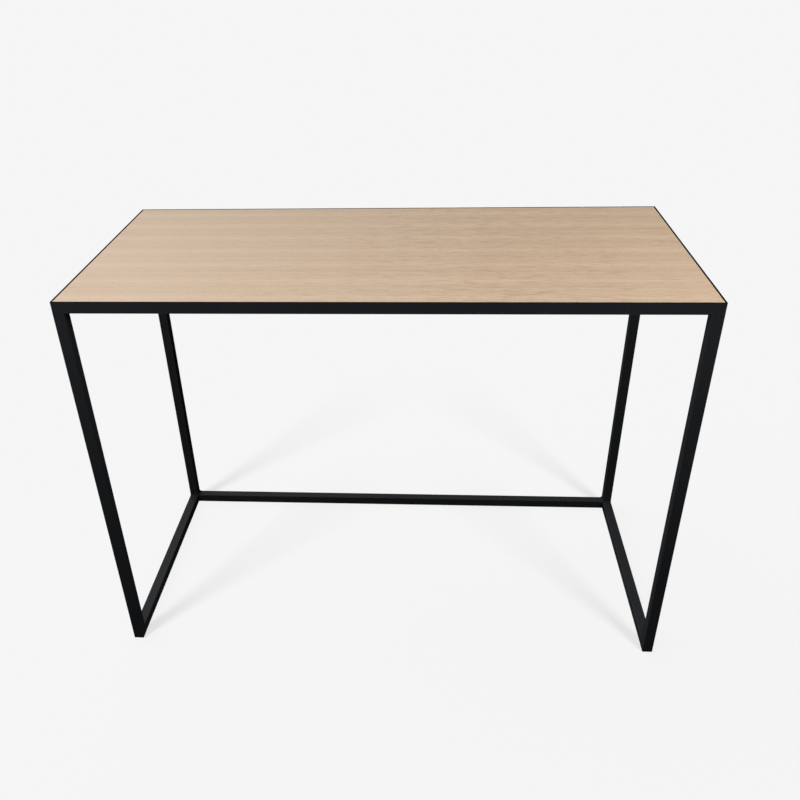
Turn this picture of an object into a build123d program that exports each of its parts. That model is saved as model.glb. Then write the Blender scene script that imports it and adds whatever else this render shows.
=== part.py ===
"""Writing desk: a welded steel frame with an oak-veneered board let into its top.

Millimetres. +X runs to the right along the desk, +Y to the rear, +Z up. The origin is on the floor, in
the middle of the footprint. Left is -X and front is -Y. The frame's legs and floor rails are square tube.
Its top is a mitred ring of equal angle: one flange stands on the outside as a thin lip, and the other lies
under the board and carries it. There is no rail at floor level in front, so a chair and feet go in freely.
"""

import os

from build123d import *

# Overall sizes, over the steel
frame_width = 1075.0
frame_depth = 500.0
frame_height = 762.0  # underside of the leg plates to the top of the lip

# Steel sections
section_size = 20.0  # outside of the square tube, and each flange of the equal angle
tube_wall = 1.5
tube_outer_radius = 1.2
tube_inner_radius = 0.4
angle_wall = 3.0  # also the width of the lip round the board
angle_root_radius = 2.0  # inside corner between the two flanges
angle_toe_radius = 1.0  # inner edge of each flange's end
lip_edge_radius = 0.5  # outer edge of the lip
end_plate_thickness = 2.0

# Weld metal
rear_bead_leg = 4.5  # fillet on top of the rear rail, where it meets a leg
side_bead_leg = 2.0  # fillet on top of a side rail, where it meets a leg

# Board
board_gap = 0.5  # between the board's edge and the upright flange
board_drop = 0.2  # from the lip's top down to the board's face
veneer_thickness = 0.5
band_thickness = 0.8
arris_clearance = 0.2  # between the board's lower edge and the angle's root

# Screws that hold the board
screws_per_long_rail = 4
screws_per_short_rail = 2
screw_end_distance = 90.0  # from the rail's outer end to its first screw
screw_diameter = 3.5
screw_hole_clearance = 0.5  # on the diameter, in the flange
screw_cover = 3.8  # board left above the screw's tip
screw_tip_length = 3.0
screw_head_diameter = 7.0
screw_head_height = 2.4
screw_head_radius = 1.2
recess_width = 1.0
recess_span = 4.0
recess_depth = 1.6

# Floor pads
pad_thickness = 1.5
pad_inset = 2.0  # from the leg's side to the pad's edge
pad_edge_radius = 0.4

# Levels and places that follow from these
frame_base = pad_thickness
frame_top = frame_base + frame_height
flange_base = frame_top - section_size
flange_top = flange_base + angle_wall
board_top = frame_top - board_drop
board_thickness = board_top - flange_top
leg_x = (frame_width - section_size) / 2
leg_y = (frame_depth - section_size) / 2
flange_middle = (angle_wall + section_size) / 2  # from the outside to the flange's clear middle
board_width = frame_width - 2 * (angle_wall + board_gap)
board_depth = frame_depth - 2 * (angle_wall + board_gap)

SIDES = {"left": -1, "right": 1}
ENDS = {"front": -1, "rear": 1}


def tube_outline(inset=0.0, radius=tube_outer_radius):
    """The square section's outline, or a smaller one inset from it."""
    side = section_size - 2 * inset
    return RectangleRounded(side, side, radius)


def tube(length):
    """A length of square tube along +Z, centred on its own axis, from z = 0."""
    return extrude(tube_outline() - tube_outline(tube_wall, tube_inner_radius), length)


def tube_bar(length):
    """The same length with no bore, which is what a weld or a cut meets from outside."""
    return extrude(tube_outline(), length)


def angle_profile():
    """The equal angle's section in its own X-Y plane: outside at x = 0, lower face at y = 0."""
    outline = Polyline(
        (0, 0),
        (section_size, 0),
        (section_size, angle_wall),
        (angle_wall, angle_wall),
        (angle_wall, section_size),
        (0, section_size),
        close=True,
    )
    profile = make_face(outline)

    def corner(x, y):
        return profile.vertices().sort_by_distance((x, y, 0))[0]

    profile = fillet(corner(angle_wall, angle_wall), angle_root_radius)
    profile = fillet([corner(section_size, angle_wall), corner(angle_wall, section_size)], angle_toe_radius)
    return fillet(corner(0, section_size), lip_edge_radius)


def screw_places(length, count):
    """Where the screws stand along a rail of this length, measured from its middle."""
    reach = length / 2 - screw_end_distance
    return [reach * (2 * i / (count - 1) - 1) for i in range(count)]


def top_rail(length, screw_count):
    """A mitred length of angle along X, outside at y = 0, with its inside towards +Y."""
    across = Plane(origin=(-length / 2, 0, flange_base), x_dir=(0, 1, 0), z_dir=(1, 0, 0))
    bar = extrude(across * angle_profile(), length)
    plan = make_face(
        Polyline(
            (-length / 2, 0),
            (length / 2, 0),
            (length / 2 - section_size, section_size),
            (section_size - length / 2, section_size),
            close=True,
        )
    )
    rail = bar & Pos(Z=flange_base) * extrude(plan, section_size)
    drill = Cylinder((screw_diameter + screw_hole_clearance) / 2, 2 * section_size)
    for x in screw_places(length, screw_count):
        rail -= Pos(x, flange_middle, flange_base) * drill
    return rail


def ring_envelope():
    """The top frame's outside, with its upright corners rounded like the legs' below them."""
    return Pos(Z=flange_base) * extrude(
        RectangleRounded(frame_width, frame_depth, tube_outer_radius), section_size
    )


def rail_seats():
    """Each top rail's place, length and screw count, by the side that it runs along."""
    return {
        "front": (Pos(Y=-frame_depth / 2), frame_width, screws_per_long_rail),
        "rear": (Pos(Y=frame_depth / 2) * Rot(Z=180), frame_width, screws_per_long_rail),
        "left": (Pos(X=-frame_width / 2) * Rot(Z=-90), frame_depth, screws_per_short_rail),
        "right": (Pos(X=frame_width / 2) * Rot(Z=90), frame_depth, screws_per_short_rail),
    }


def leg(x, y):
    """A leg from its end plate up to the underside of the top frame."""
    foot = frame_base + end_plate_thickness
    return Pos(x, y, foot) * tube(flange_base - foot)


def end_plate(x, y):
    """The plate that closes a leg at the bottom."""
    return Pos(x, y, frame_base) * tube_bar(end_plate_thickness)


def side_rail(x):
    """A floor rail from the front leg's back to the rear leg's front."""
    length = frame_depth - 2 * section_size
    return Pos(x, length / 2, frame_base + section_size / 2) * Rot(X=90) * tube(length)


def rear_rail():
    """The floor rail between the two rear legs."""
    length = frame_width - 2 * section_size
    return Pos(-length / 2, leg_y, frame_base + section_size / 2) * Rot(Y=90) * tube(length)


def weld(bead_leg):
    """Weld metal of a rail's butt joint, in the joint's own frame.

    The leg's axis is at x = 0 and the rail leaves it towards +X, with its lower face at z = 0. The metal
    fills the grooves beside the leg's rounded edges, flush with the rail, with a hollow fillet on top.
    """
    half = section_size / 2
    face = half - tube_outer_radius
    shoulder = section_size - tube_outer_radius
    seam = Pos(face, 0, half) * Rot(Y=90) * tube_bar(tube_outer_radius)
    wedge = Polyline(
        (face, shoulder),
        (half + bead_leg, shoulder),
        (half + bead_leg, section_size),
        (half, section_size + bead_leg),
        (face, section_size + bead_leg),
        close=True,
    )
    hollow = Pos(half + bead_leg, section_size + bead_leg) * Circle(bead_leg)
    upright = Plane(origin=(0, half, 0), x_dir=(1, 0, 0), z_dir=(0, -1, 0))
    bead = extrude(upright * (make_face(wedge) - hollow), section_size)
    post = Pos(Z=-section_size) * tube_bar(3 * section_size)  # runs on past the joint, up and down
    rail = Pos(half, 0, half) * Rot(Y=90) * tube_bar(bead_leg + section_size)
    return seam + bead - post - rail


def board_blank():
    """The whole board in place, its lower edges eased to clear the angle's root."""
    blank = Pos(Z=flange_top) * extrude(Rectangle(board_width, board_depth), board_thickness)
    easing = angle_root_radius - board_gap + arris_clearance
    return chamfer(blank.edges().group_by(Axis.Z)[0], easing)


def slab(width, depth, low, high):
    """An upright block centred on the desk, from one level to another."""
    return Pos(Z=low) * extrude(Rectangle(width, depth), high - low)


def board_layers(pilots):
    """The board's core, two veneers and four edge bands."""
    blank = board_blank()
    inner_width = board_width - 2 * band_thickness
    inner_depth = board_depth - 2 * band_thickness
    core_low = flange_top + veneer_thickness
    core_high = board_top - veneer_thickness
    layers = {
        "desktop_core": blank & slab(inner_width, inner_depth, core_low, core_high),
        "desktop_face_veneer": blank & slab(inner_width, inner_depth, core_high, board_top),
        "desktop_backing_veneer": blank & slab(inner_width, inner_depth, flange_top, core_low),
    }
    for name in ("desktop_core", "desktop_backing_veneer"):
        layers[name] -= pilots
    long_strip = slab(board_width, band_thickness, flange_top, board_top)
    for end, sign in ENDS.items():
        layers[f"edge_band_{end}"] = blank & Pos(Y=sign * (board_depth - band_thickness) / 2) * long_strip
    short_strip = slab(band_thickness, inner_depth, flange_top, board_top)
    for side, sign in SIDES.items():
        layers[f"edge_band_{side}"] = blank & Pos(X=sign * (board_width - band_thickness) / 2) * short_strip
    return layers


def screw():
    """A pan-head screw that stands on z = 0 with its head below and its tip up."""
    radius = screw_diameter / 2
    reach = board_top - screw_cover - flange_base
    shank = extrude(Circle(radius), reach - screw_tip_length)
    tip = Pos(Z=reach - screw_tip_length / 2) * Cone(radius, 0, screw_tip_length)
    head = Pos(Z=-screw_head_height) * extrude(Circle(screw_head_diameter / 2), screw_head_height)
    head = fillet(head.edges().group_by(Axis.Z)[0], screw_head_radius)
    slot = Pos(Z=-screw_head_height) * Box(recess_span, recess_width, 2 * recess_depth)
    return shank + tip + head - slot - Rot(Z=90) * slot


def floor_pad(x, y):
    """A round pad glued under an end plate."""
    pad = extrude(Circle(section_size / 2 - pad_inset), pad_thickness)
    return Pos(x, y, 0) * fillet(pad.edges().group_by(Axis.Z)[0], pad_edge_radius)


def build():
    """Every piece of the desk, by node name."""
    nodes = {}
    screws = []
    for side, (seat, length, count) in rail_seats().items():
        nodes[f"top_rail_{side}"] = ring_envelope() & seat * top_rail(length, count)
        screws += [seat * Pos(x, flange_middle, flange_base) * screw() for x in screw_places(length, count)]
    nodes["panel_screws"] = Compound(children=screws)
    nodes.update(board_layers(screws))
    for end, end_sign in ENDS.items():
        for side, side_sign in SIDES.items():
            x = side_sign * leg_x
            y = end_sign * leg_y
            nodes[f"leg_{end}_{side}"] = leg(x, y)
            nodes[f"leg_end_plate_{end}_{side}"] = end_plate(x, y)
            nodes[f"floor_pad_{end}_{side}"] = floor_pad(x, y)
            joint = Pos(x, y, frame_base) * Rot(Z=-90 * end_sign)
            nodes[f"weld_side_rail_{end}_{side}"] = joint * weld(side_bead_leg)
    for side, sign in SIDES.items():
        nodes[f"floor_rail_{side}"] = side_rail(sign * leg_x)
        joint = Pos(sign * leg_x, leg_y, frame_base) * Rot(Z=90 * (1 + sign))
        nodes[f"weld_rear_rail_{side}"] = joint * weld(rear_bead_leg)
        # Both rails' welds meet at the leg's inner front edge, and the rear rail's keeps that place.
        kept = nodes[f"weld_rear_rail_{side}"].bounding_box()
        nodes[f"weld_side_rail_rear_{side}"] -= Pos(kept.center()) * Box(*kept.size)
    nodes["floor_rail_rear"] = rear_rail()
    return nodes


os.makedirs("parts", exist_ok=True)
for node, shape in build().items():
    export_step(shape, f"parts/{node}.step")
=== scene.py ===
"""The finished look of a writing desk: a black powder-coated steel frame with an oak-veneered board let in.

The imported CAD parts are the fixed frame. Each steel, veneer, weld, screw and pad piece is remade here as a
finer mesh in its CAD part's place and takes that part's place in the picture. The board's drilled core and
backing keep their CAD shapes and get a finish. +X runs to the right along the desk, +Y to the rear, +Z up.
"""

import logging
import math
from collections.abc import Callable, Iterable, Sequence
from dataclasses import dataclass, field
from enum import Enum
from functools import partial

import bmesh
import bpy
from bpy.types import Collection, Material, Mesh, NodeSocket, NodeTree, Object, World
from mathutils import Matrix, Vector, noise


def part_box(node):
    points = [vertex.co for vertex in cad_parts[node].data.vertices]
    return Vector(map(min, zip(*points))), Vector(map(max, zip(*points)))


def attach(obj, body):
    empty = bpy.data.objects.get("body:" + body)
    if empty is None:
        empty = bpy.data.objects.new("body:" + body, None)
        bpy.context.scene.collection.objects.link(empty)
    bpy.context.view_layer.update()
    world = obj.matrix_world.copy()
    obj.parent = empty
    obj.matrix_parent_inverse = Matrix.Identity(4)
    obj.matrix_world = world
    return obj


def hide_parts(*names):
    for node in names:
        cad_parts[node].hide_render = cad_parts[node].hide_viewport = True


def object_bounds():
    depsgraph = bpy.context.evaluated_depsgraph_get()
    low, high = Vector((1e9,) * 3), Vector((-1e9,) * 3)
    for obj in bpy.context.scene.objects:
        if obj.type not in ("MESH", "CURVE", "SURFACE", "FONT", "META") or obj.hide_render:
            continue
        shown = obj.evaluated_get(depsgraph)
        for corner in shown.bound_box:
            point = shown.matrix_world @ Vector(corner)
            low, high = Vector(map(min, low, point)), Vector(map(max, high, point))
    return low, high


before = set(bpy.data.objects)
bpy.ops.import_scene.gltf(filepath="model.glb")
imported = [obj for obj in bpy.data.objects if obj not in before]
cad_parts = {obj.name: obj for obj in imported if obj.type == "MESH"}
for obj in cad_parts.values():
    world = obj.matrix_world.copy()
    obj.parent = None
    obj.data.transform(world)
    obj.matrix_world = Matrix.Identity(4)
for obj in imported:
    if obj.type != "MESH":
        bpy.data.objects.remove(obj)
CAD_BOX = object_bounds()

log = logging.getLogger("writing_desk")

AddNode = Callable[..., NodeSocket | None]  # add_node(), for one tree

BODY = "root"
SIDES = {"left": -1, "right": 1}
ENDS = {"front": -1, "rear": 1}
SQUARE = ((-1, -1), (1, -1), (1, 1), (-1, 1))
SHARP_ANGLE = math.radians(38)
SAME_PLACE = 5e-7  # points nearer than this, in metres, are one


def mm(value: float) -> float:
    """Turns millimetres into metres."""
    return value / 1000


def linear(hex_colour: str) -> tuple[float, float, float, float]:
    """Turns an sRGB colour into the linear one that the shaders take.

    Args:
        hex_colour: The colour as "#rrggbb".

    Returns:
        Linear red, green and blue, and an alpha of 1.
    """
    channels = [int(hex_colour[i : i + 2], 16) / 255 for i in (1, 3, 5)]
    r, g, b = [c / 12.92 if c <= 0.04045 else ((c + 0.055) / 1.055) ** 2.4 for c in channels]
    return r, g, b, 1.0


def add_node(
    tree: NodeTree,
    kind: str,
    inputs: dict[str | int, object] | Sequence[object] = (),
    out: str | int = 0,
    stops: Sequence[tuple[float, str]] = (),
    **settings: object,
) -> NodeSocket | None:
    """Adds a node with its settings, its values and its links.

    Args:
        tree: The tree that the node goes into.
        kind: The node's type, without its "ShaderNode".
        inputs: Each input's value or the output that feeds it, in order, or by its name or number.
        out: Which output is wanted.
        stops: Places and sRGB colours, for a colour ramp.
        settings: The node's own properties.

    Returns:
        The output, or nothing for a node that has none.
    """
    node = tree.nodes.new(f"ShaderNode{kind}")
    for name, value in settings.items():
        setattr(node, name, value)
    for key, value in inputs.items() if isinstance(inputs, dict) else enumerate(inputs):
        if isinstance(value, NodeSocket):
            tree.links.new(value, node.inputs[key])
        else:
            node.inputs[key].default_value = value
    for i, (place, colour) in enumerate(stops):
        elements = node.color_ramp.elements
        stop = elements[i] if i < 2 else elements.new(place)
        stop.position = place
        stop.color = linear(colour)
    return node.outputs[out] if node.outputs else None


def node_adder(owner: Material | World) -> AddNode:
    """Empties the nodes of a material or a world.

    Args:
        owner: The material or the world.

    Returns:
        add_node(), for its tree.
    """
    owner.use_nodes = True
    owner.node_tree.nodes.clear()
    return partial(add_node, owner.node_tree)


# ---------------------------------------------------------------------------------------------------------
# Finishes
# ---------------------------------------------------------------------------------------------------------


class Grain(Enum):
    """Which way the wood's fibres run."""

    ALONG_DESK = "XYZ"
    ACROSS_DESK = "YXZ"


class Run(Enum):
    """Which axis a straight piece runs along."""

    WIDTH = 0
    DEPTH = 1
    HEIGHT = 2


@dataclass(frozen=True)
class Finish:
    """A material that is made once, from nodes."""

    name: str
    bump: float = 1.0

    def material(self) -> Material:
        """Makes the material.

        Returns:
            The material, with its surface shader fed by shade().
        """
        made = bpy.data.materials.new(self.name)
        add = node_adder(made)
        place = add("TexCoord", out="Object")
        add("OutputMaterial", {"Surface": add("BsdfPrincipled", self.shade(add, place))})
        return made

    def shade(self, add: AddNode, place: NodeSocket) -> dict[str, object]:
        """Gives the surface shader's inputs. Each finish has its own."""
        raise NotImplementedError


@dataclass(frozen=True)
class PowderCoatedSteel(Finish):
    """Mild steel with a baked polyester powder coat, sprayed dry and melted in an oven.

    The powder flows into a satin skin with a faint orange peel and a fine dry speckle. It pulls thin over
    the edges, which look a little smoother and greyer; the grey is partly the thin, worn coat and partly a
    painted highlight along the edges. It lies flatter where a weld was ground flush.
    On the narrow top of the lip the colour is painted near black as painted shade, and the coat is made
    duller there, so that it is the deepest and dullest black on the desk.
    """

    name: str = "powder_coated_steel_baked_satin_black"
    coat: str = "#26292c"
    coat_deep: str = "#1f2124"
    speckle: str = "#3a3d41"
    # partly the thin, worn coat over the edges and partly a painted highlight along them
    edge: str = "#313337"
    # painted shade: the narrow top of the lip is painted near black
    lip: str = "#0c0b0b"
    roughness: float = 0.5
    roughness_spread: float = 0.07
    specular: float = 0.07
    cloud_width: float = mm(90)
    peel_width: float = mm(2.6)  # real peel is 1 to 2 mm wide, drawn wider so that it shows
    peel_height: float = mm(0.035)
    speckle_width: float = mm(0.9)  # real grit is about 0.1 mm, drawn coarser so that it shows
    speckle_share: float = 0.6
    speckle_from: float = 0.52  # the grit's levels where the speckle starts and where it is full
    speckle_full: float = 0.74
    # how much of the edges' worn-coat and painted-highlight grey shows
    edge_share: float = 0.5
    edge_polish: float = 0.08  # taken off the roughness on thin edges and on ground metal
    lip_dullness: float = 0.5  # added to the roughness on top of the lip

    def shade(self, add: AddNode, place: NodeSocket) -> dict[str, object]:
        """Lays clouds, speckle, the edges' worn coat and painted highlight, and the lip's painted shade
        into the colour, and the peel into the bump.

        Args:
            add: Adds a node to the material's tree.
            place: The point on the desk.

        Returns:
            The surface shader's inputs.
        """
        patterns = ((self.cloud_width, 3.0), (self.speckle_width, 2.0), (self.peel_width, 1.0))
        cloud, grit, peel = (
            add("TexNoise", {"Vector": place, "Scale": 1 / width, "Detail": detail})
            for width, detail in patterns
        )
        arris, ground, lip = (
            add("Attribute", out="Fac", attribute_name=label) for label in ("arris", "ground", "lip")
        )
        stretch = {"From Min": self.speckle_from, "From Max": self.speckle_full}
        specks = add("MapRange", {"Value": grit, "To Max": self.speckle_share, **stretch})
        # the edges' grey: partly worn thin coat, partly a painted highlight along the edges
        edge_wear_and_highlight = add("Math", (arris, cloud), operation="MULTIPLY")
        edge_wear_and_highlight = add("Math", (edge_wear_and_highlight, self.edge_share), operation="MULTIPLY")
        colour = linear(self.coat_deep)
        # the lip's near-black colour is painted shade
        layers = ((cloud, self.coat), (specks, self.speckle), (edge_wear_and_highlight, self.edge), (lip, self.lip))
        for amount, coat in layers:
            colour = add("Mix", {0: amount, 6: colour, 7: linear(coat)}, 2, data_type="RGBA")
        low = self.roughness - self.roughness_spread
        high = self.roughness + self.roughness_spread
        gloss = add("MapRange", {"Value": grit, "To Min": low, "To Max": high})
        smooth = add("Math", (arris, ground), operation="ADD")
        gloss = add("Math", (smooth, -self.edge_polish, gloss), operation="MULTIPLY_ADD")
        gloss = add("Math", (lip, self.lip_dullness, gloss), operation="MULTIPLY_ADD")
        relief = add("Bump", {"Height": peel, "Distance": self.peel_height, "Strength": self.bump})
        surface = {"Base Color": colour, "Roughness": gloss, "Normal": relief}
        return {**surface, "Specular IOR Level": self.specular}


@dataclass(frozen=True)
class Marks:
    """One kind of mark in the wood, drawn from noise that is stretched along it."""

    run: float
    width: float
    detail: float
    seed: float
    start: float  # the noise's level where the marks begin to show
    full: float  # and where they show fully
    most: float  # the most of their colour that they give


@dataclass(frozen=True)
class LacqueredOak(Finish):
    """Sliced white oak veneer, laid up slip-matched, sanded and sealed with a thin matt lacquer.

    The eye sees straight fine lines along the board, short brown pore dashes, a few pale ray flecks, and
    one pale band and one dusky band in each leaf, which come again leaf after leaf. The lacquer fills the
    grain almost level and adds a soft haze of light.
    """

    name: str = "oak_veneer_sliced_matt_lacquered"
    grain: Grain = Grain.ALONG_DESK
    leaf_tones: tuple[tuple[float, str], ...] = (
        (0.0, "#cfb69b"),  # the pale band at the leaf's edge
        (0.13, "#cab196"),
        (0.28, "#c8ae93"),
        (0.39, "#c5ab90"),
        (0.5, "#c8ae93"),
        (0.63, "#c2a98d"),  # the dusky band
        (0.78, "#c7ad92"),
        (0.92, "#c8ae93"),
        (1.0, "#cfb69b"),
    )
    late: str = "#d2ba9f"
    dusky: str = "#a98a6d"
    pore: str = "#8a6a4c"
    fleck: str = "#dfc9ad"
    leaf_width: float = mm(72.3)
    leaf_slip: float = mm(8)
    leaf_start: float = mm(44)
    leaf_change: float = 0.3  # how far the figure moves on from one slice of the log to the next
    bands: Marks = Marks(mm(900), mm(17), 2.0, 3.1, start=0.35, full=0.7, most=0.35)
    rings: Marks = Marks(mm(260), mm(2.8), 3.0, 11.7, start=0.5, full=0.8, most=0.3)
    # rows of pores, drawn as wide as they need to show
    dashes: Marks = Marks(mm(30), mm(2.2), 1.0, 23.9, start=0.52, full=0.7, most=0.6)
    # real pores are 0.2 to 0.3 mm wide, drawn wider so that they show
    pores: Marks = Marks(mm(7), mm(0.6), 1.0, 37.3, start=0.6, full=0.72, most=0.5)
    flecks: Marks = Marks(mm(9), mm(2.0), 1.0, 51.5, start=0.62, full=0.76, most=0.42)
    marks_roughness: float = 0.55
    wander: float = mm(2.2)
    wander_run: float = mm(260)
    figure: float = 1.0
    figure_peak: float = 1.4  # the figure's strength where it is strongest
    figure_place: float = 0.2  # metres to the right of the desk's middle, where that is
    figure_fall: float = 1.9  # what it loses in each metre from there
    figure_least: float = 0.15
    broad_run: float = mm(320)
    broad_start: float = 0.55
    broad_full: float = 0.9
    broad_most: float = 0.3
    roughness: float = 0.46
    pore_dullness: float = 0.16  # added to the roughness in open pores
    pore_depth: float = mm(0.05)
    ring_relief: float = 0.3  # how high the rings stand, as a share of the pores' depth
    bump: float = 0.6
    specular: float = 0.5

    def shade(self, add: AddNode, place: NodeSocket) -> dict[str, object]:
        """Lays up the leaves, then the lines, dashes, pores and flecks in them.

        Args:
            add: Adds a node to the material's tree.
            place: The point on the desk.

        Returns:
            The surface shader's inputs.
        """
        axes = add("SeparateXYZ", (place,)).node.outputs
        run_axis, *others = (axes["XYZ".index(letter)] for letter in self.grain.value)
        drift, broad = (
            add("TexNoise", {"Vector": place, "Scale": 1 / run, "Detail": detail})
            for run, detail in ((self.wander_run, 1.0), (self.broad_run, 2.0))
        )
        across = add("Math", others, operation="ADD")
        across = add("Math", (across, self.leaf_start), operation="ADD")
        across = add("Math", (drift, self.wander, across), operation="MULTIPLY_ADD")
        leaf = add("Math", (across, self.leaf_width), operation="DIVIDE")
        number = add("Math", (leaf,), operation="FLOOR")
        within = add("Math", (leaf,), operation="FRACT")
        change = add("Math", (number, self.leaf_change), operation="MULTIPLY")
        along = add("Math", (number, self.leaf_slip, run_axis), operation="MULTIPLY_ADD")
        turn = add("Math", (within, 2 * math.pi), operation="MULTIPLY")
        round_leaf = [add("Math", (turn,), operation=side) for side in ("COSINE", "SINE")]
        drum = self.leaf_width / (2 * math.pi)  # a leaf is wrapped round a drum, so that its edges meet

        off_peak = add("Math", (run_axis, self.figure_place), operation="SUBTRACT")
        off_peak = add("Math", (off_peak,), operation="ABSOLUTE")
        strength = add("Math", (off_peak, -self.figure_fall, self.figure_peak), operation="MULTIPLY_ADD")
        strength = add("Math", (strength, self.figure_least), operation="MAXIMUM")
        strength = add("Math", (strength, self.figure), operation="MULTIPLY")

        wood = add("ValToRGB", (within,), stops=self.leaf_tones)
        patterns = {}
        levels = {}
        for marks, colour, force in (
            (self.bands, self.late, 1.0),
            (self.rings, self.dusky, strength),
            (self.dashes, self.dusky, strength),
            (self.flecks, self.fleck, strength),
            (self.pores, self.pore, 1.0),
        ):
            spot = [add("Math", (along, 1 / marks.run, marks.seed), operation="MULTIPLY_ADD")]
            spot += [add("Math", (way, drum / marks.width), operation="MULTIPLY") for way in round_leaf]
            inputs = {"Vector": add("CombineXYZ", spot), "W": change, "Scale": 1.0, "Detail": marks.detail}
            inputs["Roughness"] = self.marks_roughness
            patterns[marks] = add("TexNoise", inputs, noise_dimensions="4D")
            stretch = {"Value": patterns[marks], "From Min": marks.start, "From Max": marks.full}
            levels[marks] = add("MapRange", stretch)
            amount = add("Math", (levels[marks], marks.most), operation="MULTIPLY")
            amount = add("Math", (force, amount), operation="MULTIPLY")
            wood = add("Mix", {0: amount, 6: wood, 7: linear(colour)}, 2, data_type="RGBA")
        stretch = {"From Min": self.broad_start, "From Max": self.broad_full, "To Max": self.broad_most}
        amount = add("MapRange", {"Value": broad, **stretch})
        wood = add("Mix", {0: amount, 6: wood, 7: linear(self.dusky)}, 2, data_type="RGBA")
        open_pores = levels[self.pores]
        dull = self.roughness + self.pore_dullness
        sealed = add("MapRange", {"Value": open_pores, "To Min": self.roughness, "To Max": dull})
        height = add("Math", (patterns[self.rings], self.ring_relief), operation="MULTIPLY")
        height = add("Math", (height, open_pores), operation="SUBTRACT")
        relief = add("Bump", {"Height": height, "Distance": self.pore_depth, "Strength": self.bump})
        surface = {"Base Color": wood, "Roughness": sealed, "Normal": relief}
        return {**surface, "Specular IOR Level": self.specular}


@dataclass(frozen=True)
class PressedFibreboard(Finish):
    """Medium-density fibreboard, pressed from wood fibre: an even dull brown felt with darker tufts."""

    name: str = "fibreboard_pressed_raw"
    felt: str = "#a58863"
    tuft: str = "#86683f"
    fibre_width: float = mm(0.6)
    tuft_width: float = mm(5)
    roughness: float = 0.86
    roughness_spread: float = 0.06
    fibre_height: float = mm(0.08)
    bump: float = 0.8

    def shade(self, add: AddNode, place: NodeSocket) -> dict[str, object]:
        """Mixes tufts and fine fibres.

        Args:
            add: Adds a node to the material's tree.
            place: The point on the desk.

        Returns:
            The surface shader's inputs.
        """
        fibres = add("TexNoise", {"Vector": place, "Scale": 1 / self.fibre_width, "Detail": 4.0})
        tufts = add("TexNoise", {"Vector": place, "Scale": 1 / self.tuft_width, "Detail": 2.0})
        amount = add("Math", (fibres, tufts), operation="MULTIPLY")
        colour = add("Mix", {0: amount, 6: linear(self.felt), 7: linear(self.tuft)}, 2, data_type="RGBA")
        relief = add("Bump", {"Height": fibres, "Distance": self.fibre_height, "Strength": self.bump})
        low = self.roughness - self.roughness_spread
        high = self.roughness + self.roughness_spread
        gloss = add("MapRange", {"Value": tufts, "To Min": low, "To Max": high})
        return {"Base Color": colour, "Roughness": gloss, "Normal": relief}


@dataclass(frozen=True)
class PassivatedZinc(Finish):
    """Steel screws with bright barrel-plated zinc, passivated: a pale blue-grey metal with fine scuffs."""

    name: str = "zinc_plate_barrel_plated_passivated"
    bright: str = "#b9bcc0"
    tint: str = "#a4a9b4"
    scuff: str = "#8b8d90"
    tint_width: float = mm(3)
    scuff_width: float = mm(0.25)
    scuff_height: float = mm(0.01)
    scuff_start: float = 0.55  # the noise's level where the scuffs begin to show
    scuff_full: float = 0.75  # and where they show fully
    scuff_share: float = 0.5
    bump: float = 0.7
    roughness: float = 0.33
    polish: float = 0.12  # taken off the roughness where the plate is brightest
    scuff_dullness: float = 0.2  # added to it where the scuffs are deepest

    def shade(self, add: AddNode, place: NodeSocket) -> dict[str, object]:
        """Mixes the passivation's tint with the scuffs of the plating barrel.

        Args:
            add: Adds a node to the material's tree.
            place: The point on the desk.

        Returns:
            The surface shader's inputs.
        """
        tint = add("TexNoise", {"Vector": place, "Scale": 1 / self.tint_width, "Detail": 2.0})
        scuffs = add("TexNoise", {"Vector": place, "Scale": 1 / self.scuff_width, "Detail": 3.0})
        colour = add("Mix", {0: tint, 6: linear(self.bright), 7: linear(self.tint)}, 2, data_type="RGBA")
        stretch = {"From Min": self.scuff_start, "From Max": self.scuff_full, "To Max": self.scuff_share}
        marks = add("MapRange", {"Value": scuffs, **stretch})
        colour = add("Mix", {0: marks, 6: colour, 7: linear(self.scuff)}, 2, data_type="RGBA")
        low = self.roughness - self.polish
        high = self.roughness + self.scuff_dullness
        gloss = add("MapRange", {"Value": scuffs, "To Min": low, "To Max": high})
        relief = add("Bump", {"Height": scuffs, "Distance": self.scuff_height, "Strength": self.bump})
        return {"Base Color": colour, "Roughness": gloss, "Normal": relief, "Metallic": 1.0}


@dataclass(frozen=True)
class MouldedRubber(Finish):
    """Compression-moulded rubber, filled with carbon black: dull, nearly black, with a fine mould grain."""

    name: str = "rubber_moulded_carbon_black"
    body: str = "#1f1e1d"
    bloom: str = "#3b3936"
    grain_width: float = mm(0.5)
    grain_height: float = mm(0.05)
    bump: float = 0.8
    bloom_width: float = mm(4)
    bloom_start: float = 0.4  # the noise's level where the bloom begins to show
    bloom_full: float = 0.8  # and where it shows fully
    bloom_share: float = 0.6
    roughness: float = 0.78
    roughness_spread: float = 0.08

    def shade(self, add: AddNode, place: NodeSocket) -> dict[str, object]:
        """Mixes a grey bloom into the rubber and grains its skin.

        Args:
            add: Adds a node to the material's tree.
            place: The point on the desk.

        Returns:
            The surface shader's inputs.
        """
        grain, bloom = (
            add("TexNoise", {"Vector": place, "Scale": 1 / width, "Detail": 3.0})
            for width in (self.grain_width, self.bloom_width)
        )
        stretch = {"From Min": self.bloom_start, "From Max": self.bloom_full, "To Max": self.bloom_share}
        amount = add("MapRange", {"Value": bloom, **stretch})
        colour = add("Mix", {0: amount, 6: linear(self.body), 7: linear(self.bloom)}, 2, data_type="RGBA")
        low = self.roughness - self.roughness_spread
        high = self.roughness + self.roughness_spread
        gloss = add("MapRange", {"Value": grain, "To Min": low, "To Max": high})
        relief = add("Bump", {"Height": grain, "Distance": self.grain_height, "Strength": self.bump})
        return {"Base Color": colour, "Roughness": gloss, "Normal": relief}


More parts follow.
